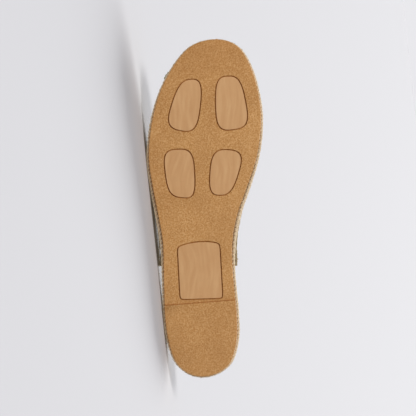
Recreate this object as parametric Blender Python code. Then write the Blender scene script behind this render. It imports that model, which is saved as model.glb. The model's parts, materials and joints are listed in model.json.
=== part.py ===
"""An espadrille: a closed-toe, open-heel slip-on with a rope sole, for the right foot.

The shoe is worked out in its own frame, in metres: x runs forward from the back of the heel, y towards
the inner side of the foot, and z up from the tread. It is then laid on its outer side, with the toe
towards -X and the tread towards -Y, as it settles there by its own weight: the edge of the rope sole and
the side of the vamp are both on the floor. The origin is under the middle of its box.
"""

import math
from collections import namedtuple

import bmesh
import bpy
from mathutils import Matrix, Vector

# Whole shoe
LENGTH = 0.252  # rope sole, back of the heel to the toe
BALL_WIDTH = 0.0865  # rope sole, across the ball of the foot
SEAT = 0.0003  # gap that touching pieces keep

# Rubber outsole
RUBBER_THICKNESS = 0.0035
RUBBER_EDGE = 0.0009  # rounding round the tread
TOE_SPRING = 0.0050  # lift of the sole at the toe
HEEL_LIFT = 0.0018  # step from the tread of the heel up to the waist
HEEL_BREAST = 0.0560  # where that step is, from the back of the heel
HEEL_SLANT = 0.078  # forward run of the step, for each unit towards the inner side
BREAST_RUN = 0.0006  # run of the step itself
RIM = 0.0022  # widest strip of rope that shows round the rubber
GROOVE_WIDTH = 0.0009
GROOVE_DEPTH = 0.0008

# Rope midsole
ROPE_THICKNESS = 0.0145
ROPE_COURSES = 3  # braids, one above the other, in its side
ROPE_DENT = 0.0009  # depth of the valley between two braids
BATTER = 0.0006  # how far each braid is set in from the one under it
TUCK = 0.0029  # how far the top braid is set in, to take the hem of the vamp

# Insole
INSOLE_THICKNESS = 0.0020
INSOLE_CLEARANCE = 0.0009  # from the inner face of the vamp
INSOLE_EDGE = 0.0005

# Upper
UPPER_WALL = 0.0015
INSTEP_HEIGHT = 0.0600  # top of the vamp at its throat, above the tread
SIDE_START = 0.0830  # where the vamp starts at each side, from the back of the heel
THROAT_START = 0.1280  # where its top starts
THROAT_CURVE = 1.5  # how late the edge leans forward as it climbs
HEM_DEPTH = 0.0042  # strip of the vamp that is sewn outside the top braid
FOLD_WIDTH = 0.0070  # turned edge along the throat
FOLD_STEP = 0.0006  # how proud the turned edge is
SIDE_SWELL = 0.0006  # how far the sides of the vamp swell out above the rope

# Stations along the shoe, and points across it
STATIONS = 44
RUNG_PARTS = 4
VAMP_ROWS = 20
VAMP_COLUMNS = 26
PAD_POINTS = 48
PAD_CROWDING = 0.2  # how much the points of a pad's outline gather at its corners
LEAN_REACH = 0.0450  # stations nearer than this to the heel breast lean with it

# Densities, in kilograms per cubic metre
RUBBER_DENSITY = 1000
ROPE_DENSITY = 620
INSOLE_DENSITY = 700
UPPER_DENSITY = 900

Section = namedtuple("Section", "along outer inner rim tuck")
# along: share of LENGTH. outer, inner: the rope sole's edge, as shares of BALL_WIDTH from the middle line.
# rim: share of RIM. tuck: share of BATTER and of TUCK.
SOLE_SECTIONS = (
    Section(0.000, 0.010, -0.010, 0.55, 0.5),
    Section(0.009, 0.126, 0.118, 0.55, 0.5),
    Section(0.036, 0.228, 0.230, 0.60, 0.5),
    Section(0.068, 0.280, 0.278, 0.70, 0.5),
    Section(0.127, 0.327, 0.311, 0.80, 0.5),
    Section(0.200, 0.349, 0.305, 0.80, 0.45),
    Section(0.300, 0.359, 0.277, 0.85, 0.35),
    Section(0.400, 0.370, 0.274, 1.00, 0.2),
    Section(0.480, 0.411, 0.316, 1.00, 0.35),
    Section(0.560, 0.456, 0.399, 1.00, 0.8),
    Section(0.640, 0.488, 0.474, 0.90, 1.0),
    Section(0.720, 0.474, 0.510, 0.80, 1.0),
    Section(0.780, 0.440, 0.511, 0.70, 1.0),
    Section(0.840, 0.387, 0.485, 0.60, 1.0),
    Section(0.896, 0.308, 0.441, 0.55, 1.0),
    Section(0.947, 0.208, 0.372, 0.50, 1.0),
    Section(0.982, 0.098, 0.286, 0.45, 1.0),
    Section(1.000, -0.112, 0.112, 0.40, 1.0),
)

VampSection = namedtuple("VampSection", "along rise crest fullness swell")
# rise: height above the rope, as a share of the rise at the throat. crest: where the top is, as a share of
# BALL_WIDTH from the middle line. fullness: 2 is a round arch, and more is squarer.
# swell: share of SIDE_SWELL.
VAMP_SECTIONS = (
    VampSection(0.300, 1.13, -0.010, 2.1, 0.0),
    VampSection(0.420, 1.08, 0.010, 2.2, 0.0),
    VampSection(0.508, 1.00, 0.040, 2.4, 0.2),
    VampSection(0.600, 0.87, 0.062, 2.5, 0.8),
    VampSection(0.700, 0.73, 0.082, 2.6, 1.0),
    VampSection(0.800, 0.60, 0.098, 2.6, 0.9),
    VampSection(0.880, 0.51, 0.108, 2.5, 0.8),
    VampSection(0.940, 0.42, 0.112, 2.4, 0.6),
    VampSection(0.980, 0.28, 0.112, 2.2, 0.4),
    VampSection(1.000, 0.00, 0.112, 2.1, 0.0),
)

Pad = namedtuple(
    "Pad", "front front_slant front_bow front_outer front_inner rear rear_slant rear_outer rear_inner square"
)
# front, rear: the pad's ends, as shares of LENGTH. The slants, forward towards the inner side, and the bow
# are shares of it too. outer, inner: the corners at each end, as shares of BALL_WIDTH from the middle line.
# square: 2 is an ellipse, and more is squarer.
PADS = (
    Pad(0.878, 0.002, 0.000, -0.203, 0.003, 0.7265, -0.019, -0.333, -0.051, 3.0),
    Pad(0.887, 0.003, 0.000, 0.100, 0.321, 0.7295, 0.014, 0.111, 0.406, 3.2),
    Pad(0.6725, 0.003, 0.000, -0.350, -0.082, 0.530, -0.009, -0.300, -0.062, 3.3),
    Pad(0.671, -0.008, 0.000, 0.074, 0.360, 0.537, 0.000, 0.042, 0.245, 3.0),
    Pad(0.391, 0.010, 0.010, -0.222, 0.143, 0.2325, 0.004, -0.199, 0.169, 16.0),
)

# A braid's side, from its foot to its top: height as a share of the braid's, dent as a share of ROPE_DENT
BRAID_PROFILE = ((0.0, 1.0), (0.17, 0.35), (0.5, 0.0), (0.83, 0.35))

FOREFOOT_FLAT = (0.43, 0.80)  # the tread is flat between these shares of LENGTH
ROUND_MIDDLE = 1 - math.sqrt(0.5)  # the middle of a quarter round, from both of its sides
SWELL_SHAPE = 4  # brings the square of an arch's reach times its lift up to about 1
SMALL_TURN = 1e-3


def turn_of(along):
    """Stations are even in this: they crowd together where the outline turns round the heel and the toe."""
    return math.acos(1 - 2 * min(max(along, 0), 1)) / math.pi


def along_of(turn):
    return (1 - math.cos(math.pi * turn)) / 2


def read_table(rows, column, turn):
    """A smooth curve through one column of a table."""
    turns = [turn_of(row.along) for row in rows]
    values = [getattr(row, column) for row in rows]
    last = len(rows) - 1
    i = max(k for k in range(last) if k == 0 or turns[k] <= turn)

    def slope(k):
        low, high = max(k - 1, 0), min(k + 1, last)
        return (values[high] - values[low]) / (turns[high] - turns[low])

    span = turns[i + 1] - turns[i]
    share = min(max((turn - turns[i]) / span, 0), 1)
    ease = share * share * (3 - 2 * share)
    start_pull = share * (1 - share) ** 2 * slope(i) * span
    end_pull = share * share * (share - 1) * slope(i + 1) * span
    return values[i] + (values[i + 1] - values[i]) * ease + start_pull + end_pull


def plan_point(side, turn):
    """The rope sole's edge. Past either end of the shoe the edge runs on along the other side."""
    if turn < 0:
        return plan_point(-side, -turn)
    if turn > 1:
        return plan_point(-side, 2 - turn)
    column = "inner" if side > 0 else "outer"
    return Vector((LENGTH * along_of(turn), side * BALL_WIDTH * read_table(SOLE_SECTIONS, column, turn)))


def edge_point(side, turn, out):
    """The rope sole's edge, moved outwards square to itself. side is 1 at the inner side, -1 at the outer."""
    run = plan_point(side, turn + SMALL_TURN) - plan_point(side, turn - SMALL_TURN)
    run.normalize()
    return plan_point(side, turn) + Vector((-side * run.y, side * run.x)) * out


def ramp(value, start, end):
    share = min(max((value - start) / (end - start), 0), 1)
    return share * share * (3 - 2 * share)


def spring(x):
    flat_end = FOREFOOT_FLAT[1] * LENGTH
    return TOE_SPRING * (max(x - flat_end, 0) / (LENGTH - flat_end)) ** 2


def rubber_top(x):
    waist = 1 - ramp(x, HEEL_BREAST, FOREFOOT_FLAT[0] * LENGTH)
    return RUBBER_THICKNESS + HEEL_LIFT * waist + spring(x)


def tread(x, y):
    behind_breast = x - HEEL_SLANT * y < HEEL_BREAST + BREAST_RUN / 2
    return 0 if behind_breast else rubber_top(x) - RUBBER_THICKNESS


def rope_bottom(x):
    return rubber_top(x) + SEAT


def rope_top(x):
    return rope_bottom(x) + ROPE_THICKNESS


def even_turns():
    return [(turn, turn) for turn in (i / STATIONS for i in range(STATIONS + 1))]


def slanted_turns():
    """Pairs of turns, at the outer and inner side, that lean with the heel breast and are square elsewhere."""
    breast_turn = turn_of(HEEL_BREAST / LENGTH)
    outer, inner = plan_point(-1, breast_turn).y, plan_point(1, breast_turn).y
    middle = HEEL_BREAST + HEEL_SLANT * (inner + outer) / 2
    stations = [LENGTH * along_of(i / STATIONS) for i in range(STATIONS + 1)]
    clear = LENGTH / STATIONS / 2
    stations = [x for x in stations if not middle - clear < x < middle + BREAST_RUN + clear]
    pairs = []
    for x in sorted(stations + [middle, middle + BREAST_RUN]):
        lean = HEEL_SLANT * (inner - outer) / 2 * (1 - ramp(abs(x - middle), 0, LEAN_REACH))
        pairs.append((turn_of((x - lean) / LENGTH), turn_of((x + lean) / LENGTH)))
    return pairs


class Shell:
    """A closed mesh that is built from points, where points that coincide are one vertex."""

    def __init__(self, name):
        self.name = name
        self.mesh = bmesh.new()

    def vert(self, x, y, z):
        return self.mesh.verts.new((x, y, z))

    def face(self, *verts):
        if len(set(verts)) == len(verts):
            self.mesh.faces.new(verts)

    def bridge(self, ring, other, closed=True):
        count = len(ring)
        for i in range(count if closed else count - 1):
            k = (i + 1) % count
            self.face(ring[i], ring[k], other[k], other[i])

    def finish(self, material, parent):
        bmesh.ops.remove_doubles(self.mesh, verts=self.mesh.verts, dist=1e-6)
        bmesh.ops.triangulate(self.mesh, faces=self.mesh.faces)
        bmesh.ops.recalc_face_normals(self.mesh, faces=self.mesh.faces)
        data = bpy.data.meshes.new(self.name)
        self.mesh.to_mesh(data)
        self.mesh.free()
        data.materials.append(material)
        data.shade_smooth()
        data.set_sharp_from_angle(angle=math.radians(35))
        made = bpy.data.objects.new(self.name, data)
        bpy.context.scene.collection.objects.link(made)
        made.parent = parent
        return made


def stacked(shell, pairs, levels):
    """A body of rings, one above the other. Each level is (out, height): out(turn) moves the rope sole's
    edge outwards, and height(x, y) is the ring's z. Rungs across the shoe close the first and last rings."""
    rings = []
    for out, height in levels:
        outer = [edge_point(-1, a, out(a)) for a, _ in pairs]
        inner = [edge_point(1, b, out(b)) for _, b in pairs]
        sides = outer + inner[-2:0:-1]
        rings.append([shell.vert(p.x, p.y, height(p.x, p.y)) for p in sides])
    for ring, other in zip(rings, rings[1:]):
        shell.bridge(ring, other)
    for ring, (_, height) in ((rings[0], levels[0]), (rings[-1], levels[-1])):
        close_with_rungs(shell, ring, len(pairs), height)


def close_with_rungs(shell, ring, count, height):
    rungs = []
    for i in range(count):
        start, end = ring[i], ring[-i % len(ring)]
        if i in (0, count - 1):
            rungs.append([start] * (RUNG_PARTS + 1))
            continue
        between = [start.co.lerp(end.co, k / RUNG_PARTS) for k in range(1, RUNG_PARTS)]
        rungs.append([start] + [shell.vert(p.x, p.y, height(p.x, p.y)) for p in between] + [end])
    for rung, after in zip(rungs, rungs[1:]):
        for k in range(RUNG_PARTS):
            corners = []
            for vert in (rung[k], rung[k + 1], after[k + 1], after[k]):
                if vert not in corners:
                    corners.append(vert)
            shell.face(*corners)


def sole_column(column, turn):
    return read_table(SOLE_SECTIONS, column, min(max(turn, 0), 1))


def make_outsole(material, parent):
    """Rubber: rounded at the tread's edge, stepped at the heel breast, and grooved round each smooth pad."""
    shell = Shell("outsole")
    pairs = slanted_turns()
    profile = ((RUBBER_EDGE, 0), (ROUND_MIDDLE * RUBBER_EDGE, ROUND_MIDDLE * RUBBER_EDGE), (0, RUBBER_EDGE))
    levels = [
        (
            lambda turn, back=back: -RIM * sole_column("rim", turn) - back,
            lambda x, y, lift=lift: tread(x, y) + lift,
        )
        for back, lift in profile
    ]
    levels.append((lambda turn: -RIM * sole_column("rim", turn), lambda x, y: rubber_top(x)))
    stacked(shell, pairs, levels)
    outsole = shell.finish(material, parent)
    for number, pad in enumerate(PADS):
        cutter = make_groove(f"groove_cutter_{number + 1}", pad, material, parent)
        cut = outsole.modifiers.new(f"groove {number + 1}", "BOOLEAN")
        cut.operation = "DIFFERENCE"
        cut.solver = "MANIFOLD"
        cut.object = cutter
    return outsole


def pad_point(pad, angle):
    """The pad's outline: a squared circle, stretched over the four corners of the pad."""
    angle += PAD_CROWDING * math.sin(4 * angle)
    across, forward = math.cos(angle), math.sin(angle)
    radius = (abs(across) ** pad.square + abs(forward) ** pad.square) ** (-1 / pad.square)
    across, forward = across * radius, forward * radius
    share_in, share_front = (across + 1) / 2, (forward + 1) / 2
    front = pad.front + pad.front_slant * (share_in - 0.5) + pad.front_bow * (1 - across * across)
    rear = pad.rear + pad.rear_slant * (share_in - 0.5)
    outer = pad.rear_outer + (pad.front_outer - pad.rear_outer) * share_front
    inner = pad.rear_inner + (pad.front_inner - pad.rear_inner) * share_front
    along = rear + (front - rear) * share_front
    return Vector((along * LENGTH, (outer + (inner - outer) * share_in) * BALL_WIDTH))


def make_groove(name, pad, material, parent):
    """A ring that is cut from the rubber round one pad."""
    shell = Shell(name)
    step = 2 * math.pi / PAD_POINTS
    middle = [pad_point(pad, k * step) for k in range(PAD_POINTS)]
    loops = []
    for out, lift in ((-1, -1), (1, -1), (1, 1), (-1, 1)):
        loop = []
        for k, point in enumerate(middle):
            run = (middle[(k + 1) % PAD_POINTS] - middle[k - 1]).normalized()
            moved = point + Vector((run.y, -run.x)) * out * GROOVE_WIDTH / 2
            loop.append(shell.vert(moved.x, moved.y, tread(point.x, point.y) + lift * GROOVE_DEPTH))
        loops.append(loop)
    for loop, other in zip(loops, loops[1:] + loops[:1]):
        shell.bridge(loop, other)
    cutter = shell.finish(material, parent)
    cutter.hide_render = True
    cutter.display_type = "WIRE"
    return cutter


def rope_out(course, dent, turn):
    """How far a braid's side is from the rope sole's edge. The top one is set in most, under the vamp."""
    set_in = TUCK if course == ROPE_COURSES - 1 else course * BATTER
    return -set_in * sole_column("tuck", turn) - dent * ROPE_DENT


def make_rope_midsole(material, parent):
    """Rope: braids laid one above the other, whose rounded sides are its ribs."""
    shell = Shell("rope_midsole")
    course_height = ROPE_THICKNESS / ROPE_COURSES
    levels = []
    for course in range(ROPE_COURSES):
        for share, dent in BRAID_PROFILE:
            lift = (course + share) * course_height
            levels.append(
                (
                    lambda turn, c=course, d=dent: rope_out(c, d, turn),
                    lambda x, y, lift=lift: rope_bottom(x) + lift,
                )
            )
    levels.append((lambda turn: rope_out(ROPE_COURSES - 1, 1, turn), lambda x, y: rope_top(x)))
    stacked(shell, even_turns(), levels)
    return shell.finish(material, parent)


def make_insole(material, parent):
    shell = Shell("insole")
    bottom, top = SEAT, SEAT + INSOLE_THICKNESS
    profile = ((0, bottom), (0, top - INSOLE_EDGE), (INSOLE_EDGE, top))
    levels = [
        (
            lambda turn, back=back: SEAT - TUCK - INSOLE_CLEARANCE - back,
            lambda x, y, lift=lift: rope_top(x) + lift,
        )
        for back, lift in profile
    ]
    stacked(shell, even_turns(), levels)
    return shell.finish(material, parent)


def hem_out(turn, depth):
    """The vamp's face where it is sewn outside the top braid. depth is how far under its outer face."""
    return rope_out(ROPE_COURSES - 1, 0, turn) + SEAT + UPPER_WALL - depth


def vamp_point(turn, angle, depth):
    """The vamp, in arches over the foot: angle is 0 at the outer side's rope and pi at the inner side's."""
    outer = edge_point(-1, turn, hem_out(turn, depth))
    inner = edge_point(1, turn, hem_out(turn, depth))
    middle_x = (outer.x + inner.x) / 2
    throat_rise = INSTEP_HEIGHT - rope_top(THROAT_START)
    rise = throat_rise * max(read_table(VAMP_SECTIONS, "rise", turn), 0)
    rise = rise * rise / (rise + depth) if rise > 0 else 0
    crest = BALL_WIDTH * read_table(VAMP_SECTIONS, "crest", turn)
    power = 2 / read_table(VAMP_SECTIONS, "fullness", turn)
    reach = abs(math.cos(angle)) ** power
    lift = abs(math.sin(angle)) ** power
    foot = outer if math.cos(angle) > 0 else inner
    swell = SIDE_SWELL * read_table(VAMP_SECTIONS, "swell", turn)
    swell *= SWELL_SHAPE * reach * reach * lift
    x = middle_x + (foot.x - middle_x) * reach
    y = crest + (foot.y - crest) * reach + math.copysign(swell, foot.y - crest)
    return Vector((x, y, rope_top(x) + rise * lift))


def hem_point(side, turn, depth):
    point = edge_point(side, turn, hem_out(turn, depth))
    return Vector((point.x, point.y, rope_top(point.x) - HEM_DEPTH))


def back_turn(angle):
    """Where the vamp's free edge is: at its sides it stands up from the rope, and then it leans forward."""
    start = SIDE_START + (THROAT_START - SIDE_START) * abs(math.sin(angle)) ** THROAT_CURVE
    return turn_of(start / LENGTH)


def vamp_rows(angle):
    """(turn, how proud the face is) from the free edge to the toe, with the turned edge as a step."""
    start = back_turn(angle)
    run = (vamp_point(start + SMALL_TURN, angle, 0) - vamp_point(start, angle, 0)).length / SMALL_TURN
    fold_end = start + FOLD_WIDTH / run
    flat_start = fold_end + 2 * FOLD_STEP / run
    rows = [(start, FOLD_STEP), ((start + fold_end) / 2, FOLD_STEP), (fold_end, FOLD_STEP)]
    for k in range(VAMP_ROWS + 1):
        rows.append((flat_start + (1 - flat_start) * k / VAMP_ROWS, 0))
    return rows


def make_upper(material, parent):
    """Canvas: one hollow vamp, open at its throat and heel and over the rope sole."""
    shell = Shell("upper")
    angles = [math.pi * k / VAMP_COLUMNS for k in range(VAMP_COLUMNS + 1)]
    skins = []
    for depth in (0, UPPER_WALL):
        columns = []
        for side, angle in [(-1, 0)] + [(0, angle) for angle in angles] + [(1, math.pi)]:
            column = []
            for turn, proud in vamp_rows(angle):
                inward = depth if depth else -proud
                point = hem_point(side, turn, inward) if side else vamp_point(turn, angle, inward)
                column.append(shell.vert(*point))
            columns.append(column)
        for column, other in zip(columns, columns[1:]):
            shell.bridge(column, other, closed=False)
        skins.append(columns)
    outside, inside = skins
    shell.bridge(outside[0], inside[0], closed=False)
    shell.bridge(outside[-1], inside[-1], closed=False)
    shell.bridge([column[0] for column in outside], [column[0] for column in inside], closed=False)
    return shell.finish(material, parent)


def add_material(name, colour, roughness):
    material = bpy.data.materials.new(name)
    material.use_nodes = True
    shader = material.node_tree.nodes["Principled BSDF"]
    shader.inputs["Base Color"].default_value = (*colour, 1)
    shader.inputs["Roughness"].default_value = roughness
    shader.inputs["Metallic"].default_value = 0
    return material


def mass_centre(weighted):
    """The centre of mass of (object, density) pairs, summed over the tetrahedra under their triangles."""
    graph = bpy.context.evaluated_depsgraph_get()
    total, moment = 0, Vector()
    for piece, density in weighted:
        mesh = piece.evaluated_get(graph).to_mesh()
        mesh.calc_loop_triangles()
        for triangle in mesh.loop_triangles:
            a, b, c = (mesh.vertices[i].co for i in triangle.vertices)
            mass = density * a.dot(b.cross(c)) / 6
            total += mass
            moment += (a + b + c) * mass / 4
        piece.evaluated_get(graph).to_mesh_clear()
    return moment / total


def settled_normal(pieces, centre):
    """The normal of the face that the shoe lies on, once it has rolled to rest from its outer side."""
    hull = bmesh.new()
    for piece in pieces:
        for vertex in piece.data.vertices:
            hull.verts.new(vertex.co)
    bmesh.ops.remove_doubles(hull, verts=hull.verts, dist=1e-6)
    bmesh.ops.convex_hull(hull, input=hull.verts)
    bmesh.ops.recalc_face_normals(hull, faces=hull.faces)
    hull.normal_update()
    face = min(hull.faces, key=lambda f: f.normal.y)
    rolling = True
    while rolling:
        rolling = False
        for loop in face.loops:
            start, end = loop.vert.co, loop.link_loop_next.vert.co
            outside = (end - start).cross(centre - start).dot(face.normal) < 0
            if outside and not loop.edge.is_boundary:
                face = loop.link_loop_radial_next.face
                rolling = True
                break
    normal = face.normal.copy()
    hull.free()
    return normal


def lay_on_side(parent, pieces, weighted):
    """Turns the frame of the shoe so that it lies as it settles, and sets the origin under its box."""
    up = -settled_normal(pieces, mass_centre(weighted))
    forward = Vector((-1, 0, 0))
    forward = (forward - up * forward.dot(up)).normalized()
    turn = Matrix((forward, up.cross(forward), up))
    points = [turn @ vertex.co for piece in pieces for vertex in piece.data.vertices]
    low = Vector(min(p[k] for p in points) for k in range(3))
    high = Vector(max(p[k] for p in points) for k in range(3))
    middle = (low + high) / 2
    place = Matrix.Translation((-middle.x, -middle.y, -low.z))
    parent.matrix_world = place @ turn.to_4x4()


def main():
    for old in list(bpy.data.objects):
        bpy.data.objects.remove(old, do_unlink=True)
    shoe = bpy.data.objects.new("shoe", None)
    bpy.context.scene.collection.objects.link(shoe)
    outsole = make_outsole(add_material("crepe rubber", (0.47, 0.25, 0.09), 0.75), shoe)
    rope_midsole = make_rope_midsole(add_material("jute rope", (0.58, 0.43, 0.27), 0.9), shoe)
    insole = make_insole(add_material("sock cloth", (0.55, 0.46, 0.34), 0.9), shoe)
    upper = make_upper(add_material("canvas", (0.25, 0.20, 0.13), 0.9), shoe)
    bpy.context.view_layer.update()
    weighted = (
        (outsole, RUBBER_DENSITY),
        (rope_midsole, ROPE_DENSITY),
        (insole, INSOLE_DENSITY),
        (upper, UPPER_DENSITY),
    )
    lay_on_side(shoe, (outsole, rope_midsole, insole, upper), weighted)


main()
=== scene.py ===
# %% [markdown]
# An espadrille in Blender: canvas, plaited rope and crepe rubber
#
# The shoe lies on its outer side, sole towards the camera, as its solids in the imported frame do. This
# lesson dresses those solids piece by piece: the rubber sole, the plaited rope, the sock inside, the
# canvas vamp and all its thread. Nothing is moved to fit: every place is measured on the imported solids.

import json
import math
import random

import bmesh
import bpy
from mathutils import Matrix, Vector
from mathutils.bvhtree import BVHTree


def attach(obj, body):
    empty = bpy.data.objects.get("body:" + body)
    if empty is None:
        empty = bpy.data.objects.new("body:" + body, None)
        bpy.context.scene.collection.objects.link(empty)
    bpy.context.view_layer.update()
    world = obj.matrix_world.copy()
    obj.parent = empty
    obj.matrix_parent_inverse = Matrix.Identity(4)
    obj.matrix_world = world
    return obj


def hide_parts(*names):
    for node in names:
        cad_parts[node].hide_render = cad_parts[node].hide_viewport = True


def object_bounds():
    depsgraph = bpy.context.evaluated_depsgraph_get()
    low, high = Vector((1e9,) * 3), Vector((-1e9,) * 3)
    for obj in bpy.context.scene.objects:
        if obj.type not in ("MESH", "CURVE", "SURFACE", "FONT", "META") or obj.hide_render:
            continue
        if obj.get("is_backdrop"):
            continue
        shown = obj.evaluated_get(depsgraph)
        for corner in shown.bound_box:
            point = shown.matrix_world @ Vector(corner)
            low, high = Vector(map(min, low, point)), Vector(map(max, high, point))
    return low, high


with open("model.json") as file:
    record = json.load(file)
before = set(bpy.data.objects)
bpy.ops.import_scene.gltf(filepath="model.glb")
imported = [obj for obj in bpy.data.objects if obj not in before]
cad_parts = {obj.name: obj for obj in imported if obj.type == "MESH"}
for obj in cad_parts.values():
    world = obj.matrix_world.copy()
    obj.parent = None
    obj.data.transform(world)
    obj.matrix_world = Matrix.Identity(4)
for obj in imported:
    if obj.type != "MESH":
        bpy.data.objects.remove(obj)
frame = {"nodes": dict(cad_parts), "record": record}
cad_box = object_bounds()
nodes = frame["nodes"]
print("solids:", sorted(nodes))

# %% [markdown]
# A shoe is drawn along its own length, not along the room's axes. The two flat places on the tread tell
# how this one lies: the line from the heel's to the forefoot's runs forwards, and their axis points out
# of the sole. With the point behind the heel as origin that gives a matrix from the shoe's own sizes
# (x forwards, y towards the inner side, z up from the tread) to the room, and every later cell uses it.

# %% The shoe's own axes
HEEL_TREAD_X = 0.025
tread = {mount["name"]: mount for mount in frame["record"]["mounts"]}
heel_tread = Vector(tread["heel_tread"]["pos_m"])
forward = (Vector(tread["forefoot_tread"]["pos_m"]) - heel_tread).normalized()
upward = -Vector(tread["heel_tread"]["axis"]).normalized()
inner = upward.cross(forward).normalized()
shoe_to_room = Matrix((forward, inner, upward)).transposed().to_4x4()
shoe_to_room.translation = heel_tread - forward * HEEL_TREAD_X
room_to_shoe = shoe_to_room.inverted()


def shoe_points(name):
    return [room_to_shoe @ vertex.co for vertex in nodes[name].data.vertices]


LENGTH = max(point.x for point in shoe_points("rope_midsole"))
SOLE_MIDDLE = 0.006
print(f"the shoe is {LENGTH * 1000:.0f} mm long, and its inner side points {tuple(inner)}")

# %% [markdown]
# Two small habits keep operators predictable. First, everything is deselected before a piece is begun,
# because an operator acts on all that is selected. Second, a finished piece keeps its place in its mesh,
# and its object stays at the origin, so that a pattern on Object coordinates can't slide.

# %% Helpers for objects
def pick(piece):
    """Makes piece the one selected and active object."""
    if bpy.context.mode != "OBJECT":
        bpy.ops.object.mode_set(mode="OBJECT")
    bpy.ops.object.select_all(action="DESELECT")
    piece.hide_viewport = False
    piece.select_set(True)
    bpy.context.view_layer.objects.active = piece


def edit(piece, kind="FACE"):
    pick(piece)
    bpy.ops.object.mode_set(mode="EDIT")
    bpy.ops.mesh.select_mode(type=kind)


def link_mesh(name, mesh):
    piece = bpy.data.objects.new(name, mesh)
    bpy.context.scene.collection.objects.link(piece)
    return piece


def merged_copy(node, name):
    """A copy of a solid's mesh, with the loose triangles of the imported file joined."""
    piece = link_mesh(name, nodes[node].data.copy())
    piece.data.materials.clear()
    edit(piece, "VERT")
    bpy.ops.mesh.select_all(action="SELECT")
    bpy.ops.mesh.remove_doubles(threshold=1e-6)
    bpy.ops.mesh.tris_convert_to_quads(face_threshold=math.radians(40), shape_threshold=math.radians(60))
    bpy.ops.object.mode_set(mode="OBJECT")
    return piece


def apply_modifier(piece, kind, **settings):
    pick(piece)
    modifier = piece.modifiers.new(kind.title(), kind)
    for setting, value in settings.items():
        setattr(modifier, setting, value)
    bpy.ops.object.modifier_apply(modifier=modifier.name)


def lay_in_room(piece):
    """Takes a piece that was modelled in the shoe's own axes into the room."""
    piece.data.transform(shoe_to_room)
    piece.data.update()


def press_flat(piece):
    """Cloth and yarn give way where the shoe lies on the floor, so nothing of them goes below it."""
    for vertex in piece.data.vertices:
        vertex.co.z = max(vertex.co.z, 0)


def smooth(piece, degrees=40):
    pick(piece)
    bpy.ops.object.shade_smooth_by_angle(angle=math.radians(degrees))


def dress(piece, slot_name, *materials):
    press_flat(piece)
    for material in materials:
        piece.data.materials.append(material)
    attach(piece, "root")
    triangles = sum(len(face.vertices) - 2 for face in piece.data.polygons)
    print(f"{piece.name}: {triangles} triangles, slot {slot_name}")


# %% [markdown]
# Rays measure the solids. A ray that is sent from outside towards the middle of the shoe stops on the
# surface that a finger would touch, so thread and rope can be laid exactly there.

# %% Rays on the solids
def ray_tree(name):
    mesh = nodes[name].data
    return BVHTree.FromPolygons(shoe_points(name), [face.vertices[:] for face in mesh.polygons])


trees = {name: ray_tree(name) for name in nodes}
FAR = 0.2


def height_on(name, x, y, down=True):
    """Height of the solid's top at (x, y), or of its underside."""
    start = Vector((x, y, FAR if down else -FAR))
    hit = trees[name].ray_cast(start, Vector((0, 0, -1 if down else 1)))[0]
    return hit.z if hit else None


rope_foot = height_on("rope_midsole", 0.1, 0, down=False)
rope_head = height_on("rope_midsole", 0.1, 0)
print(f"the rope is {(rope_head - rope_foot) * 1000:.1f} mm thick")

# %% [markdown]
# The photograph looks straight at the sole from over two metres away, with the toe at the top. So the
# camera looks along the sole's normal with a long lens, rolled until the shoe's length is upright in the
# picture. The photograph's own middle is a little to the inner side of the shoe, which turns the view by
# a degree and a half and lets the rope show more on that side.

# %% Camera
PICTURE_PIXELS = 416
SHOE_PIXELS = 341
PIXEL_SIZE = LENGTH / SHOE_PIXELS
CAMERA_DISTANCE = 2.2
PICTURE_OFFSET = Vector((-0.003, 0.060, 0))
camera_data = bpy.data.cameras.new("camera")
camera = bpy.data.objects.new("camera", camera_data)
bpy.context.scene.collection.objects.link(camera)
bpy.context.scene.camera = camera
shoe_middle = Vector((LENGTH / 2, SOLE_MIDDLE * 0.6, 0))
eye = shoe_middle + PICTURE_OFFSET + Vector((0, 0, -CAMERA_DISTANCE))
backwards = (eye - shoe_middle).normalized()
rightwards = Vector((1, 0, 0)).cross(backwards).normalized()
upright = backwards.cross(rightwards)
view_in_shoe = Matrix((rightwards, upright, backwards)).transposed().to_4x4()
view_in_shoe.translation = eye
camera.matrix_world = shoe_to_room @ view_in_shoe
camera_data.sensor_width = 36
camera_data.lens = camera_data.sensor_width * CAMERA_DISTANCE / (PICTURE_PIXELS * PIXEL_SIZE)
camera_data.clip_start = 0.05
camera_data.clip_end = 200
eye_in_room = tuple(round(value, 3) for value in camera.matrix_world.translation)
print(f"lens {camera_data.lens:.0f} mm, eye at {eye_in_room}")

# %% [markdown]
# The floor is one pale plane that runs past the horizon. Its light comes from suns with a wide disc,
# because a sun lights the far floor as much as the near one, so that the ground stays even to the edges
# of the picture. One sun stands on the camera's side, towards the toe and the inner side, and lights the
# sole. The second stands low behind the shoe and lays its soft shadow in front of it, on the outer side.
# The third shines up from below, as a pale table throws light back on what lies on it, and keeps the
# shaded rim from going black. The floor casts no shadow, so that this light gets through it.

# %% Floor and light
def make_plain_material(name, colour, roughness):
    material = bpy.data.materials.new(name)
    material.use_nodes = True
    shader = material.node_tree.nodes["Principled BSDF"]
    shader.inputs["Base Color"].default_value = (*colour, 1)
    shader.inputs["Roughness"].default_value = roughness
    return material


bpy.context.scene.view_settings.view_transform = "Standard"
bpy.ops.mesh.primitive_plane_add(size=160, location=(0, 0, 0))
floor = bpy.context.object
floor.name = "floor"
floor.data.materials.append(make_plain_material("pale floor", (0.438, 0.438, 0.460), 0.9))
floor.visible_shadow = False
floor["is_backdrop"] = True


def add_sun(name, towards, strength, disc_degrees, colour):
    """A sun whose light comes from the direction towards, in room axes."""
    data = bpy.data.lights.new(name, "SUN")
    data.energy = strength
    data.angle = math.radians(disc_degrees)
    data.color = colour
    sun = bpy.data.objects.new(name, data)
    bpy.context.scene.collection.objects.link(sun)
    sun.rotation_euler = Vector(towards).to_track_quat("Z", "Y").to_euler()


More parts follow.
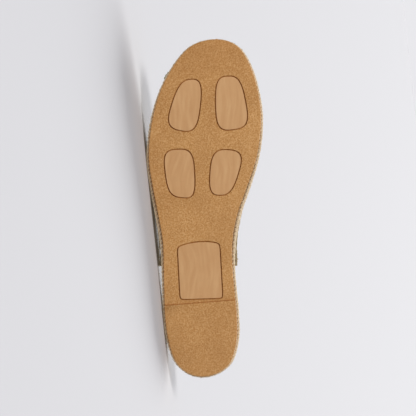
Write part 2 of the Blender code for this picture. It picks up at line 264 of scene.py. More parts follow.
add_sun("key", (-0.30, -0.80, 1.0), 2.15, 20, (1.0, 0.98, 0.94))
add_sun("shadow_layer", (0.15, 1.0, 0.46), 3.3, 38, (1.0, 1.0, 1.0))
add_sun("bounce", (-0.05, -0.25, -1.0), 1.1, 60, (1.0, 1.0, 1.0))

# %% [markdown]
# The sky gives the soft light from all round. What the camera sees of it, beyond the floor's far edge, is
# as bright as the floor looks there, so that no horizon shows in the picture's corner.

# %% Sky
SKY_LIGHT = (0.42, 0.42, 0.44, 1)
SKY_SEEN = (0.822, 0.818, 0.845, 1)
world = bpy.data.worlds.new("studio")
bpy.context.scene.world = world
world.use_nodes = True
sky_nodes = world.node_tree.nodes
sky_links = world.node_tree.links
sky_nodes["Background"].inputs["Color"].default_value = SKY_LIGHT
seen_sky = sky_nodes.new("ShaderNodeBackground")
seen_sky.inputs["Color"].default_value = SKY_SEEN
ray_kind = sky_nodes.new("ShaderNodeLightPath")
choose_sky = sky_nodes.new("ShaderNodeMixShader")
sky_links.new(ray_kind.outputs["Is Camera Ray"], choose_sky.inputs["Fac"])
sky_links.new(sky_nodes["Background"].outputs["Background"], choose_sky.inputs[1])
sky_links.new(seen_sky.outputs["Background"], choose_sky.inputs[2])
sky_links.new(choose_sky.outputs["Shader"], sky_nodes["World Output"].inputs["Surface"])
print("three suns and a pale sky")

# %% [markdown]
# Materials are small networks of nodes. These helpers add a node with its settings, join two sockets and
# send a height to a Bump node. What is the same all over a surface is set on the shader itself.

# %% Helpers for materials
def set_up(node, settings):
    for name, value in settings.items():
        if name in node.inputs:
            node.inputs[name].default_value = value
        else:
            setattr(node, name, value)
    return node


class Finish:
    """A Principled material that is built up node by node."""

    def __init__(self, name, **settings):
        self.material = bpy.data.materials.new(name)
        self.material.use_nodes = True
        self.nodes = self.material.node_tree.nodes
        self.shader = set_up(self.nodes["Principled BSDF"], settings)
        self.place = self.nodes.new("ShaderNodeTexCoord")
        self.last_bump = None

    def join(self, source, target):
        self.material.node_tree.links.new(source, target)

    def add(self, kind, **settings):
        return set_up(self.nodes.new("ShaderNode" + kind), settings)

    def mapped(self, source, scale=(1, 1, 1)):
        mapping = self.add("Mapping")
        mapping.inputs["Scale"].default_value = scale
        self.join(self.place.outputs[source], mapping.inputs["Vector"])
        return mapping.outputs["Vector"]

    def noise(self, vector, size, detail=2, roughness=0.5):
        """Noise whose blotches are about size metres across."""
        texture = self.add("TexNoise", Scale=1 / size, Detail=detail, Roughness=roughness)
        self.join(vector, texture.inputs["Vector"])
        return texture.outputs["Fac"]

    def cells(self, vector, size):
        texture = self.add("TexVoronoi", feature="SMOOTH_F1", Scale=1 / size, Smoothness=0.4)
        self.join(vector, texture.inputs["Vector"])
        return texture.outputs["Distance"]

    def sum_of(self, first, second, operation="ADD"):
        """Adds two values, or does what operation says; second is a socket or a number."""
        node = self.add("Math", operation=operation)
        self.join(first, node.inputs[0])
        if isinstance(second, bpy.types.NodeSocket):
            self.join(second, node.inputs[1])
        else:
            node.inputs[1].default_value = second
        return node.outputs["Value"]

    def times(self, value, factor):
        return self.sum_of(value, factor, "MULTIPLY")

    def sine(self, value):
        return self.sum_of(value, 0, "SINE")

    def ramp(self, source, *stops):
        """Colours along a value: each stop is (where, colour)."""
        node = self.add("ValToRGB")
        elements = node.color_ramp.elements
        while len(elements) < len(stops):
            elements.new(0.5)
        for element, (where, colour) in zip(elements, stops):
            element.position = where
            element.color = (*colour, 1)
        self.join(source, node.inputs["Fac"])
        return node.outputs["Color"]

    def mix(self, share, first, second, blend="MIX"):
        node = self.add("Mix", data_type="RGBA", blend_type=blend)
        factor, a, b = node.inputs[0], node.inputs[6], node.inputs[7]
        for socket, value in ((factor, share), (a, first), (b, second)):
            if isinstance(value, bpy.types.NodeSocket):
                self.join(value, socket)
            else:
                socket.default_value = value if socket == factor else (*value, 1)
        return node.outputs[2]

    def bump(self, height, depth, strength=1.0):
        node = self.add("Bump", Strength=strength, Distance=depth)
        self.join(height, node.inputs["Height"])
        if self.last_bump:
            self.join(self.last_bump.outputs["Normal"], node.inputs["Normal"])
        self.join(node.outputs["Normal"], self.shader.inputs["Normal"])
        self.last_bump = node

    def colour(self, source):
        self.join(source, self.shader.inputs["Base Color"])

    def vary_roughness(self, source, low, high):
        node = self.add("MapRange")
        node.inputs["To Min"].default_value = low
        node.inputs["To Max"].default_value = high
        self.join(source, node.inputs["Value"])
        self.join(node.outputs["Result"], self.shader.inputs["Roughness"])


def from_screen(red, green, blue):
    """A colour as it is read on a screen, 0 to 255, as light."""
    shares = [value / 255 for value in (red, green, blue)]
    return tuple(s / 12.92 if s <= 0.04045 else ((s + 0.055) / 1.055) ** 2.4 for s in shares)


# %% [markdown]
# Crepe rubber is poured and rolled, and its skin sets in a fine pebbled grain a little over a millimetre
# across. Soft Voronoi cells make the pebbles, a finer noise breaks them up, and the grain's tops are the
# lighter part. A slow noise lets the tan wander, a few pale specks are mixed in, and a ramp along the
# shoe's length makes it a little darker towards the heel, and darker and warmer towards the toe.

# %% Finish: crepe rubber
crepe = Finish("crepe rubber", **{"Roughness": 0.72, "Specular IOR Level": 0.3})
on_crepe = crepe.mapped("Object")
pebbles = crepe.cells(on_crepe, 0.0012)
crumbs = crepe.noise(on_crepe, 0.0008, detail=4, roughness=0.65)
patches = crepe.noise(on_crepe, 0.030, detail=3)
grain = crepe.sum_of(crepe.times(pebbles, 0.3), crumbs)
crepe_tan = crepe.ramp(
    grain,
    (0.40, from_screen(166, 115, 58)),
    (0.60, from_screen(186, 136, 79)),
    (0.82, from_screen(207, 161, 107)),
)
crepe_patch = crepe.ramp(patches, (0.38, (0.91, 0.89, 0.86)), (0.62, (1.0, 1.0, 1.0)))
crepe_skin = crepe.mix(1.0, crepe_tan, crepe_patch, "MULTIPLY")
specks = crepe.noise(on_crepe, 0.0018, detail=3, roughness=0.6)
speck_share = crepe.ramp(specks, (0.66, (0.0, 0.0, 0.0)), (0.76, (0.45, 0.45, 0.45)))
specked = crepe.mix(speck_share, crepe_skin, from_screen(222, 186, 138))
along_shoe = crepe.add("SeparateXYZ")
crepe.join(crepe.mapped("UV", scale=(1 / LENGTH, 1, 1)), along_shoe.inputs["Vector"])
# A ramp along the shoe darkens the colour towards the heel and the toe.
darker_at_ends = crepe.ramp(
    along_shoe.outputs["X"],
    (0.06, (0.93, 0.92, 0.91)),
    (0.34, (1.0, 1.0, 1.0)),
    (0.78, (1.0, 1.0, 1.0)),
    (0.98, (0.90, 0.86, 0.80)),
)
crepe.colour(crepe.mix(1.0, specked, darker_at_ends, "MULTIPLY"))
crepe.bump(patches, 0.0006, 0.4)
crepe.bump(grain, 0.0004, 0.9)
crepe.vary_roughness(crumbs, 0.62, 0.82)
print("finish:", crepe.material.name)

# %% [markdown]
# The five pads are moulded against polished steel. They have no grain, only faint streaks along the shoe
# where the rubber flowed, and look a little pinker. The streaks are noise that is drawn out along the
# map, and a slow noise pushes that map sideways, so that they bend. The groove round each pad is painted
# a darker brown, partly for the dust that it holds and partly as painted shade.

# %% Finishes: smooth pads and their grooves
STREAK_BEND = 0.010  # metres from side to side
pad_finish = Finish("smooth rubber", **{"Roughness": 0.5, "Specular IOR Level": 0.4})
bend = pad_finish.noise(pad_finish.mapped("UV"), 0.035, detail=1)
sideways = pad_finish.add("CombineXYZ")
pad_finish.join(pad_finish.times(bend, STREAK_BEND), sideways.inputs["Y"])
bent_map = pad_finish.add("VectorMath", operation="ADD")
pad_finish.join(pad_finish.mapped("UV", scale=(0.15, 1, 1)), bent_map.inputs[0])
pad_finish.join(sideways.outputs["Vector"], bent_map.inputs[1])
streaks = pad_finish.noise(bent_map.outputs["Vector"], 0.0032, detail=3)
dimples = pad_finish.noise(pad_finish.mapped("Object"), 0.004, detail=2)
pad_tan = pad_finish.ramp(
    streaks,
    (0.3, from_screen(189, 143, 95)),
    (0.5, from_screen(194, 149, 101)),
    (0.7, from_screen(200, 157, 109)),
)
pad_finish.colour(pad_tan)
pad_finish.bump(streaks, 0.0001, 0.35)
pad_finish.bump(dimples, 0.0002, 0.2)
pad_finish.vary_roughness(streaks, 0.45, 0.62)

# The groove's browns are darker than the crepe's: partly dust, partly painted shade.
groove_shade_and_dust = Finish("groove rubber with dust and painted shade", **{"Roughness": 0.85, "Specular IOR Level": 0.2})
groove_mottle = groove_shade_and_dust.noise(groove_shade_and_dust.mapped("Object"), 0.0015, detail=3)
groove_shade_and_dust.colour(
    groove_shade_and_dust.ramp(groove_mottle, (0.35, from_screen(150, 94, 44)), (0.7, from_screen(180, 126, 70)))
)
groove_shade_and_dust.bump(groove_mottle, 0.0002, 0.5)
print("finishes:", pad_finish.material.name, "and", groove_shade_and_dust.material.name)

# %% [markdown]
# The rubber sole is the imported solid with softer edges. Its flat parts fall into islands: the forefoot
# with the waist, the heel, five pads, and the floor of the groove round each pad. An island's area tells
# which it is, so the faces are given their finish without naming a single one of them by number. The
# step in front of the heel looks towards the toe, and it gets the same dust and painted shade as the
# grooves.

# %% Outsole: sort its flat islands
outsole = merged_copy("outsole", "crepe_outsole")
SOLE_DOWN = -upward
PAD_AREA = (2.0e-4, 1.5e-3)
PAD, GROOVE = 1, 2  # finishes of the outsole; 0 is the grain
BREAST_REACH = (0.045, 0.070)


def flat_islands(mesh):
    """Groups of joined faces that face out of the sole."""
    waiting = {face for face in mesh.faces if face.normal.dot(SOLE_DOWN) > 0.9}
    islands = []
    while waiting:
        island, edge_of = set(), [waiting.pop()]
        while edge_of:
            face = edge_of.pop()
            island.add(face)
            joined = {other for edge in face.edges for other in edge.link_faces} & waiting
            waiting -= joined
            edge_of.extend(joined)
        islands.append(island)
    return islands


shape = bmesh.new()
shape.from_mesh(outsole.data)
counts = {"pad": 0, "groove": 0, "tread": 0}
groove_floor = set()
for island in flat_islands(shape):
    area = sum(face.calc_area() for face in island)
    if area < PAD_AREA[0]:
        groove_floor |= island
        counts["groove"] += 1
    elif area < PAD_AREA[1]:
        counts["pad"] += 1
        for face in island:
            face.material_index = PAD
    else:
        counts["tread"] += 1
for face in groove_floor:
    face.material_index = GROOVE
    for vertex in face.verts:
        for wall in vertex.link_faces:
            wall.material_index = GROOVE
# The heel's breast gets the groove's darker brown: painted shade on the step, with its dust.
for face in shape.faces:
    centre = room_to_shoe @ face.calc_center_median()
    faces_toe = (room_to_shoe.to_3x3() @ face.normal).x > 0.8
    if faces_toe and BREAST_REACH[0] < centre.x < BREAST_REACH[1]:
        face.material_index = GROOVE
shape.to_mesh(outsole.data)
shape.free()
print("islands of the outsole:", counts)

# %% [markdown]
# Moulded rubber has no knife edges. A small bevel on every sharp edge catches a thin line of light beside
# each groove, which is how the eye reads them as pressed in. Then a map in the shoe's own metres is laid
# on the sole for the streaks. Weighted Normal lets the large faces rule the shading, so that a pad looks
# flat right up to its rounded rim.

# %% Outsole: soften the edges and lay a map on it
def lay_sole_map(piece):
    """A UV map of the shoe seen from below, in metres."""
    layer = piece.data.uv_layers.get("UVMap") or piece.data.uv_layers.new(name="UVMap")
    for loop in piece.data.loops:
        point = room_to_shoe @ piece.data.vertices[loop.vertex_index].co
        layer.data[loop.index].uv = (point.x, point.y)


PAD_ROUNDING = 0.0004
edit(outsole, "EDGE")
bpy.ops.mesh.select_all(action="DESELECT")
sole_shape = bmesh.from_edit_mesh(outsole.data)
for edge in sole_shape.edges:
    kinds = {face.material_index for face in edge.link_faces}
    edge.select_set(kinds == {PAD, GROOVE})
bmesh.update_edit_mesh(outsole.data)
bpy.ops.mesh.bevel(offset=PAD_ROUNDING, segments=3, affect="EDGES", clamp_overlap=True)
bpy.ops.object.mode_set(mode="OBJECT")
EDGE_ROUNDING = dict(width=0.00016, segments=2, limit_method="ANGLE", angle_limit=math.radians(38))
apply_modifier(outsole, "BEVEL", **EDGE_ROUNDING)
lay_sole_map(outsole)
smooth(outsole, 30)
apply_modifier(outsole, "WEIGHTED_NORMAL", mode="FACE_AREA", weight=50, keep_sharp=True)
dress(outsole, "crepe_rubber", crepe.material, pad_finish.material, groove_shade_and_dust.material)
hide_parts("outsole")

# %% [markdown]
# Jute is a coarse, straw-coloured bast fibre. It is spun into a yarn whose twist shows as slanting lines,
# and three yarns are plaited. The twist is drawn on each yarn's own map: u runs along it and v round it,
# so slanting stripes of u plus v wind round the yarn as the real fibres do.

# %% Finish: jute yarn
FIBRE_BUNDLES = 8


def make_jute(name, twists, dark, middle, light):
    """twists: how often the yarn turns on itself along its whole length."""
    jute = Finish(name, **{"Roughness": 0.92, "Specular IOR Level": 0.2, "Sheen Weight": 0.15})
    split = jute.add("SeparateXYZ")
    jute.join(jute.mapped("UV", scale=(twists, 1, 1)), split.inputs["Vector"])
    place = jute.mapped("Object")
    fuzz = jute.noise(place, 0.0007, detail=4, roughness=0.65)
    bales = jute.noise(place, 0.011, detail=2)
    slant = jute.sum_of(split.outputs["X"], split.outputs["Y"])
    wound = jute.sum_of(slant, jute.times(fuzz, 0.10))
    stripes = jute.sine(jute.times(wound, 2 * math.pi * FIBRE_BUNDLES))
    twist = jute.sum_of(jute.times(stripes, 0.13), fuzz)
    straw = jute.ramp(twist, (0.25, dark), (0.5, middle), (0.75, light))
    tone = jute.ramp(bales, (0.3, (0.86, 0.82, 0.77)), (0.7, (1.0, 1.0, 1.0)))
    jute.colour(jute.mix(1.0, straw, tone, "MULTIPLY"))
    jute.bump(twist, 0.0004, 0.9)
    return jute


jute_yarn = make_jute(
    "jute yarn", 92, from_screen(176, 150, 114), from_screen(222, 201, 168), from_screen(240, 225, 200)
)
jute_core = Finish("jute core", **{"Roughness": 0.95, "Specular IOR Level": 0.15})
core_fuzz = jute_core.noise(jute_core.mapped("Object"), 0.0012, detail=4)
jute_core.colour(
    jute_core.ramp(core_fuzz, (0.35, from_screen(132, 108, 76)), (0.7, from_screen(180, 154, 118)))
)
jute_core.bump(core_fuzz, 0.0005, 0.7)
print("finishes:", jute_yarn.material.name, "and", jute_core.material.name)

# %% [markdown]
# The rope sole is a long plait, coiled flat and stitched through, with three rounds of it one above the
# other at the edge. To lay a plait there, its line is measured first: rays come in from outside towards a
# spine in the middle of the shoe, fanned round the heel and the toe, and the points that they find on the
# solid's side are spread evenly. The sole rises at the toe, so the height of a round is a share of the
# solid's own, measured a centimetre in from the tips, where the solid curves away. The lowest round lies
# close on the rubber. At the waist the middle round stands out a little, and the top one is drawn in.

# %% Rope: the line of each round
HEEL_CENTRE = Vector((0.036, 0.0))
TOE_CENTRE = Vector((0.212, 0.009))
SIDE_RAYS = 110
FAN_RAYS = 64
COURSES = 3
LEVEL_MARGIN = 0.010


def spine_rays():
    """(start, direction) pairs in plan, once round the shoe."""
    rays = []
    for k in range(SIDE_RAYS):
        rays.append((HEEL_CENTRE.lerp(TOE_CENTRE, k / SIDE_RAYS), Vector((0, -1))))
    for k in range(FAN_RAYS):
        angle = -math.pi / 2 + math.pi * k / FAN_RAYS
        rays.append((TOE_CENTRE, Vector((math.cos(angle), math.sin(angle)))))
    for k in range(SIDE_RAYS):
        rays.append((TOE_CENTRE.lerp(HEEL_CENTRE, k / SIDE_RAYS), Vector((0, 1))))
    for k in range(FAN_RAYS):
        angle = math.pi / 2 + math.pi * k / FAN_RAYS
        rays.append((HEEL_CENTRE, Vector((math.cos(angle), math.sin(angle)))))
    return rays


def rope_level(x, share):
    """Height inside the rope sole at x: share 0 is its underside and 1 its top."""
    x = min(max(x, LEVEL_MARGIN), LENGTH - LEVEL_MARGIN)
    y = TOE_CENTRE.y * x / LENGTH
    low = height_on("rope_midsole", x, y, down=False)
    high = height_on("rope_midsole", x, y)
    return low + (high - low) * share


def side_line(share):
    """Points on the rope's side, once round the shoe, at a share of its height."""
    line = []
    for start, direction in spine_rays():
        near = start + direction * 0.02
        outward = Vector((direction.x, direction.y, 0))
        far = Vector((start.x, start.y, 0)) + outward * FAR
        level = rope_level(near.x, share)
        for _ in range(2):
            far.z = level
            hit = trees["rope_midsole"].ray_cast(far, -outward)[0]
            level = rope_level(hit.x, share)
        line.append(Vector((hit.x, hit.y, level)))
    return line


def spread_evenly(line, count):
    """count points at equal steps along a closed line."""
    closed = line + line[:1]
    lengths = [0]
    for a, b in zip(closed, closed[1:]):
        lengths.append(lengths[-1] + (b - a).length)
    points, k = [], 0
    for i in range(count):
        goal = lengths[-1] * i / count
        while lengths[k + 1] < goal:
            k += 1
        points.append(closed[k].lerp(closed[k + 1], (goal - lengths[k]) / (lengths[k + 1] - lengths[k])))
    return points, lengths[-1]


course_lines = [side_line((course + 0.5) / COURSES) for course in range(COURSES)]
SOLE_JOINT = 0.0009
WAIST = (0.128, 0.036)
WAIST_SWELL = 0.0010
WAIST_TUCK = 0.0011
HIDDEN_TUCK = 0.0016


def at_waist(x):
    """1 in the middle of the waist, fading to 0 towards the heel and the ball."""
    return math.exp(-(((x - WAIST[0]) / WAIST[1]) ** 4))


for point in course_lines[0]:
    point.z -= SOLE_JOINT
for number, outwards in enumerate((WAIST_SWELL / 4, WAIST_SWELL, -HIDDEN_TUCK)):
    for point in course_lines[number]:
        point.y += outwards * at_waist(point.x) * math.copysign(1, point.y - SOLE_MIDDLE)
print("round lengths in mm:", [round(spread_evenly(line, 10)[1] * 1000) for line in course_lines])

# %% [markdown]
# In a three-strand plait every yarn swings up and down across the plait while it dives under one
# neighbour and over the next. Seen along the plait that is a flat figure of eight: the height is a sine,
# and the depth is a sine at twice the pace. The three yarns do the same, a third of a swing apart. The
# yarn itself is an oval, wider along the plait's face, so that the strands lie close as packed jute does.

# %% Rope: plait three yarns for each round
COURSE_HEIGHT = (rope_head - rope_foot) / COURSES
YARN_HALF_THICKNESS = 0.00078
YARN_HALF_WIDTH = 0.00112
SWING_UP = COURSE_HEIGHT / 2 - YARN_HALF_WIDTH
SWING_OUT = 0.00052
PLAIT_PERIOD = 0.0092
POINTS_PER_PERIOD = 12

bpy.ops.object.select_all(action="DESELECT")
bpy.ops.curve.primitive_bezier_circle_add(radius=1)
yarn_oval = bpy.context.object
yarn_oval.name = "yarn_oval"
yarn_oval.data.resolution_u = 2
yarn_oval.scale = (YARN_HALF_THICKNESS, YARN_HALF_WIDTH, 1)
bpy.ops.object.transform_apply(scale=True)


def outward_of(points, i):
    """The direction square to a closed line in plan, away from the shoe."""
    run = points[(i + 1) % len(points)] - points[i - 1]
    return Vector((run.y, -run.x, 0)).normalized()


def plait(name, line, seed):
    """Three yarns round the shoe, as one mesh."""
    loose = random.Random(seed)
    length = spread_evenly(line, 10)[1]
    periods = round(length / PLAIT_PERIOD)
    count = periods * POINTS_PER_PERIOD
    points, _ = spread_evenly(line, count)
    curve = bpy.data.curves.new(name, "CURVE")
    curve.dimensions = "3D"
    curve.twist_mode = "Z_UP"
    curve.bevel_mode = "OBJECT"
    curve.bevel_object = yarn_oval
    for strand in range(3):
        spline = curve.splines.new("POLY")
        spline.points.add(count - 1)
        spline.use_cyclic_u = True
        wander = [loose.uniform(-1, 1) for _ in range(periods)]
        for i in range(count):
            phase = 2 * math.pi * (i / POINTS_PER_PERIOD + strand / 3)
            step, share = divmod(i / POINTS_PER_PERIOD, 1)
            a, b = wander[int(step)], wander[(int(step) + 1) % periods]
            slack = (a + (b - a) * share) * 0.00010
            out = SWING_OUT * math.sin(2 * phase) - SWING_OUT - YARN_HALF_THICKNESS + slack
            place = points[i] + outward_of(points, i) * out
            place.z += SWING_UP * math.sin(phase) + slack
            spline.points[i].co = (*place, 1)
            spline.points[i].radius = 1 + 0.08 * a
    piece = bpy.data.objects.new(name, curve)
    bpy.context.scene.collection.objects.link(piece)
    pick(piece)
    bpy.ops.object.convert(target="MESH")
    return bpy.context.object


for number, line in enumerate(course_lines):
    braid = plait(f"jute_plait_{number + 1}", line, seed=11 + number)
    lay_in_room(braid)
    edit(braid)
    bpy.ops.mesh.select_all(action="SELECT")
    bpy.ops.mesh.normals_make_consistent(inside=False)
    smooth(braid, 80)
    dress(braid, "jute_rope", jute_yarn.material)
bpy.data.objects.remove(yarn_oval)

# %% [markdown]
# Behind the plaits lies the rest of the coil. Hardly anything of it shows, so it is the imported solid
# drawn in at its sides, in a darker straw that reads as shade between the yarns.

# %% Rope: the core behind the plaits
CORE_SET_IN = 0.0013
core = merged_copy("rope_midsole", "jute_core")
for vertex in core.data.vertices:
    side = room_to_shoe.to_3x3() @ vertex.normal
    side.z = 0
    vertex.co -= shoe_to_room.to_3x3() @ side * CORE_SET_IN
smooth(core, 60)
dress(core, "jute_rope", jute_core.material)
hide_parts("rope_midsole")

# %% [markdown]
# Jute always sheds. A few hundred loose fibres stand out of the plaits. Each is one short bent hair with
# three sides, whose place, lean, bend and length come from a seeded draw, and all are joined in one mesh.

# %% Rope: loose fibres
FIBRES = 320
FIBRE_LENGTH = 0.0034
ROOT_DEPTH = 0.0006
HAIR_BEND = 0.0006


def hair(points, radius):
    """A thin closed tube with three sides through points, as (vertices, faces)."""
    verts, faces = [], []
    for i, point in enumerate(points):
        run = (points[min(i + 1, len(points) - 1)] - points[max(i - 1, 0)]).normalized()
        side = run.orthogonal().normalized()
        other = run.cross(side)
        thin = radius * (1 - 0.7 * i / (len(points) - 1))
        for k in range(3):
            angle = 2 * math.pi * k / 3
            verts.append(point + (side * math.cos(angle) + other * math.sin(angle)) * thin)
    for i in range(len(points) - 1):
        for k in range(3):
            a, b = i * 3 + k, i * 3 + (k + 1) % 3
            faces.append((a, b, b + 3, a + 3))
    faces.append((2, 1, 0))
    last = len(verts) - 3
    faces.append((last, last + 1, last + 2))
    return verts, faces


draw = random.Random(5)
fibre_verts, fibre_faces = [], []
for _ in range(FIBRES):
    line = course_lines[draw.choice((0, 0, 1, 2))]
    i = draw.randrange(len(line))
    out = outward_of(line, i)
    run = Vector((-out.y, out.x, 0))
    root = line[i] - out * ROOT_DEPTH + Vector((0, 0, draw.uniform(-1, 1) * COURSE_HEIGHT * 0.4))
    lean = run * draw.choice((-1, 1)) + out * draw.uniform(0.1, 0.6)
    lean.z += draw.uniform(-0.6, 0.6)
    lean.normalize()
    bend = Vector((draw.uniform(-1, 1), draw.uniform(-1, 1), draw.uniform(-1, 1))) * HAIR_BEND
    reach = FIBRE_LENGTH * draw.uniform(0.5, 1.3)
    path = [root + lean * reach * t + bend * t * t for t in (0, 0.25, 0.5, 0.75, 1)]
    verts, faces = hair(path, draw.uniform(0.00004, 0.00008))
    base = len(fibre_verts)
    fibre_verts.extend(verts)
    fibre_faces.extend(tuple(base + k for k in face) for face in faces)
fibre_mesh = bpy.data.meshes.new("jute_fibres")
fibre_mesh.from_pydata(fibre_verts, [], fibre_faces)
fibre_mesh.update()
fibres = link_mesh("jute_fibres", fibre_mesh)
lay_in_room(fibres)
fibre_finish = Finish("jute hair", **{"Roughness": 0.8, "Base Color": (*from_screen(222, 204, 172), 1)})
smooth(fibres, 80)
dress(fibres, "jute_rope", fibre_finish.material)

# %% [markdown]
# The sock is a thin padded cloth that is glued in over the rope. Where the heel and the ball of the foot
# press, it dips a little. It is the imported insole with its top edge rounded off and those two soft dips.
# Its cloth is a plain weave: two sine waves across the map tell which thread lies on top, and stretched
# noise gives each thread its own tone. The vamp's canvas and lining are woven by the same function.

# %% Finish: woven cloth
def make_cloth(name, pitch, warp, weft, wash, **settings):
    """Plain weave on the piece's own map in metres; warp and weft are each (dark, light) colours."""
    cloth = Finish(name, **{"Roughness": 0.9, "Specular IOR Level": 0.2, "Sheen Weight": 0.15, **settings})
    split = cloth.add("SeparateXYZ")
    cloth.join(cloth.mapped("UV"), split.inputs["Vector"])
    waves = [cloth.sine(cloth.times(split.outputs[axis], math.pi / pitch)) for axis in ("X", "Y")]
    over = cloth.times(waves[0], waves[1])
    warp_on_top = cloth.add("MapRange", **{"From Min": -0.15, "From Max": 0.15})
    cloth.join(over, warp_on_top.inputs["Value"])
    along = cloth.noise(cloth.mapped("UV", scale=(0.05, 1, 1)), pitch * 1.5, detail=2)
    across = cloth.noise(cloth.mapped("UV", scale=(1, 0.05, 1)), pitch * 1.5, detail=2)
    warp_tone = cloth.ramp(along, (0.35, warp[0]), (0.65, warp[1]))
    weft_tone = cloth.ramp(across, (0.35, weft[0]), (0.65, weft[1]))
    thread = cloth.mix(warp_on_top.outputs["Result"], weft_tone, warp_tone)
    crown = cloth.sum_of(over, 0, "ABSOLUTE")
    # Where the threads dip between their crowns the colour is darkened: painted shade in the weave's
    # valleys.
    painted_valley_shade = cloth.ramp(crown, (0.0, (0.62, 0.58, 0.54)), (0.30, (1.0, 1.0, 1.0)))
    woven = cloth.mix(1.0, thread, painted_valley_shade, "MULTIPLY")
    faded = cloth.noise(cloth.mapped("Object"), 0.025, detail=3)
    washed = cloth.ramp(faded, (0.35, wash), (0.65, (1.0, 1.0, 1.0)))
    cloth.colour(cloth.mix(1.0, woven, washed, "MULTIPLY"))
    fibres_on_cloth = cloth.noise(cloth.mapped("UV"), pitch * 0.4, detail=3)
    relief = cloth.sum_of(cloth.times(crown, 0.8), cloth.sum_of(along, across))
    cloth.bump(cloth.sum_of(relief, cloth.times(fibres_on_cloth, 0.3)), 0.00025, 0.8)
    return cloth


sock_finish = make_cloth(
    "sock cloth",
    0.0007,
    (from_screen(184, 168, 142), from_screen(208, 194, 168)),
    (from_screen(176, 159, 132), from_screen(200, 185, 158)),
    (0.92, 0.90, 0.87),
)
print("finish:", sock_finish.material.name)

# %% Insole: round it and let it dip
HEEL_DIP = (0.036, 0.0, 0.030, 0.024, 0.0008)  # x, y, reach along, reach across, depth
BALL_DIP = (0.170, 0.006, 0.034, 0.032, 0.0006)
SOCK_ROUNDING = dict(width=0.0006, segments=3, limit_method="ANGLE", angle_limit=math.radians(30))
insole = merged_copy("insole", "sock")
apply_modifier(insole, "BEVEL", **SOCK_ROUNDING)
apply_modifier(insole, "SUBSURF", levels=1, render_levels=1, subdivision_type="SIMPLE")
for vertex in insole.data.vertices:
    point = room_to_shoe @ vertex.co
    if (room_to_shoe.to_3x3() @ vertex.normal).z > 0.3:
        for x, y, reach_x, reach_y, depth in (HEEL_DIP, BALL_DIP):
            far = ((point.x - x) / reach_x) ** 2 + ((point.y - y) / reach_y) ** 2
            vertex.co -= upward * depth * math.exp(-far * 1.5)
lay_sole_map(insole)
sock_map = insole.data.uv_layers["UVMap"]
for face in insole.data.polygons:
    normal = room_to_shoe.to_3x3() @ face.normal
    if abs(normal.z) > 0.5:
        continue
    for loop in face.loop_indices:
        point = room_to_shoe @ insole.data.vertices[insole.data.loops[loop].vertex_index].co
        run = point.x if abs(normal.y) > abs(normal.x) else point.y
        sock_map.data[loop].uv = (run, point.z)
smooth(insole, 40)
dress(insole, "sock_cloth", sock_finish.material)
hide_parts("insole")

# %% [markdown]
# The vamp is one piece of washed canvas with a turned edge along its throat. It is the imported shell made
# finer with Subdivision Surface. Its rims are creased first, so that the cloth keeps its thickness there.

# %% Upper: refine the shell
vamp = merged_copy("upper", "canvas_vamp")
edit(vamp, "EDGE")
bpy.ops.mesh.select_all(action="DESELECT")
bpy.ops.mesh.edges_select_sharp(sharpness=math.radians(50))
bpy.ops.transform.edge_crease(value=0.75)
bpy.ops.object.mode_set(mode="OBJECT")
apply_modifier(vamp, "SUBSURF", levels=2, render_levels=2)
print("the vamp has", len(vamp.data.polygons), "faces")

# %% [markdown]
# Canvas that has been worn and set down keeps soft folds. They are given in the shoe's own
# sizes: each fold is a line over the foot with a width and a depth, as a trough with a low ridge on each
# side. A fold moves both skins of the cloth alike, towards the shoe's middle or away from it, so the wall
# stays even. The top of the toe sags a little, the hem is gathered in small pleats round the toe, and at
# the waist it is drawn in with the top round of the rope.

# %% Upper: lay the folds
RIDGE_SHARE = 0.45
RIDGE_PLACE = 1.9


def fold_depth(point, start, end, width, depth):
    """How far a fold from start to end (angle over the foot in degrees, x) moves the cloth inwards."""
    angle = math.degrees(math.atan2(point.z - ROPE_TOP, point.y - SOLE_MIDDLE)) % 360
    share = min(max((angle - start[0]) / (end[0] - start[0]), 0), 1)
    line_x = start[1] + (end[1] - start[1]) * share
    away = (point.x - line_x) / width
    fade = math.sin(math.pi * share) ** 0.6 if 0 < share < 1 else 0
    ridges = RIDGE_SHARE * math.exp(-((abs(away) - RIDGE_PLACE) ** 2))
    return depth * fade * (math.exp(-away * away) - ridges)


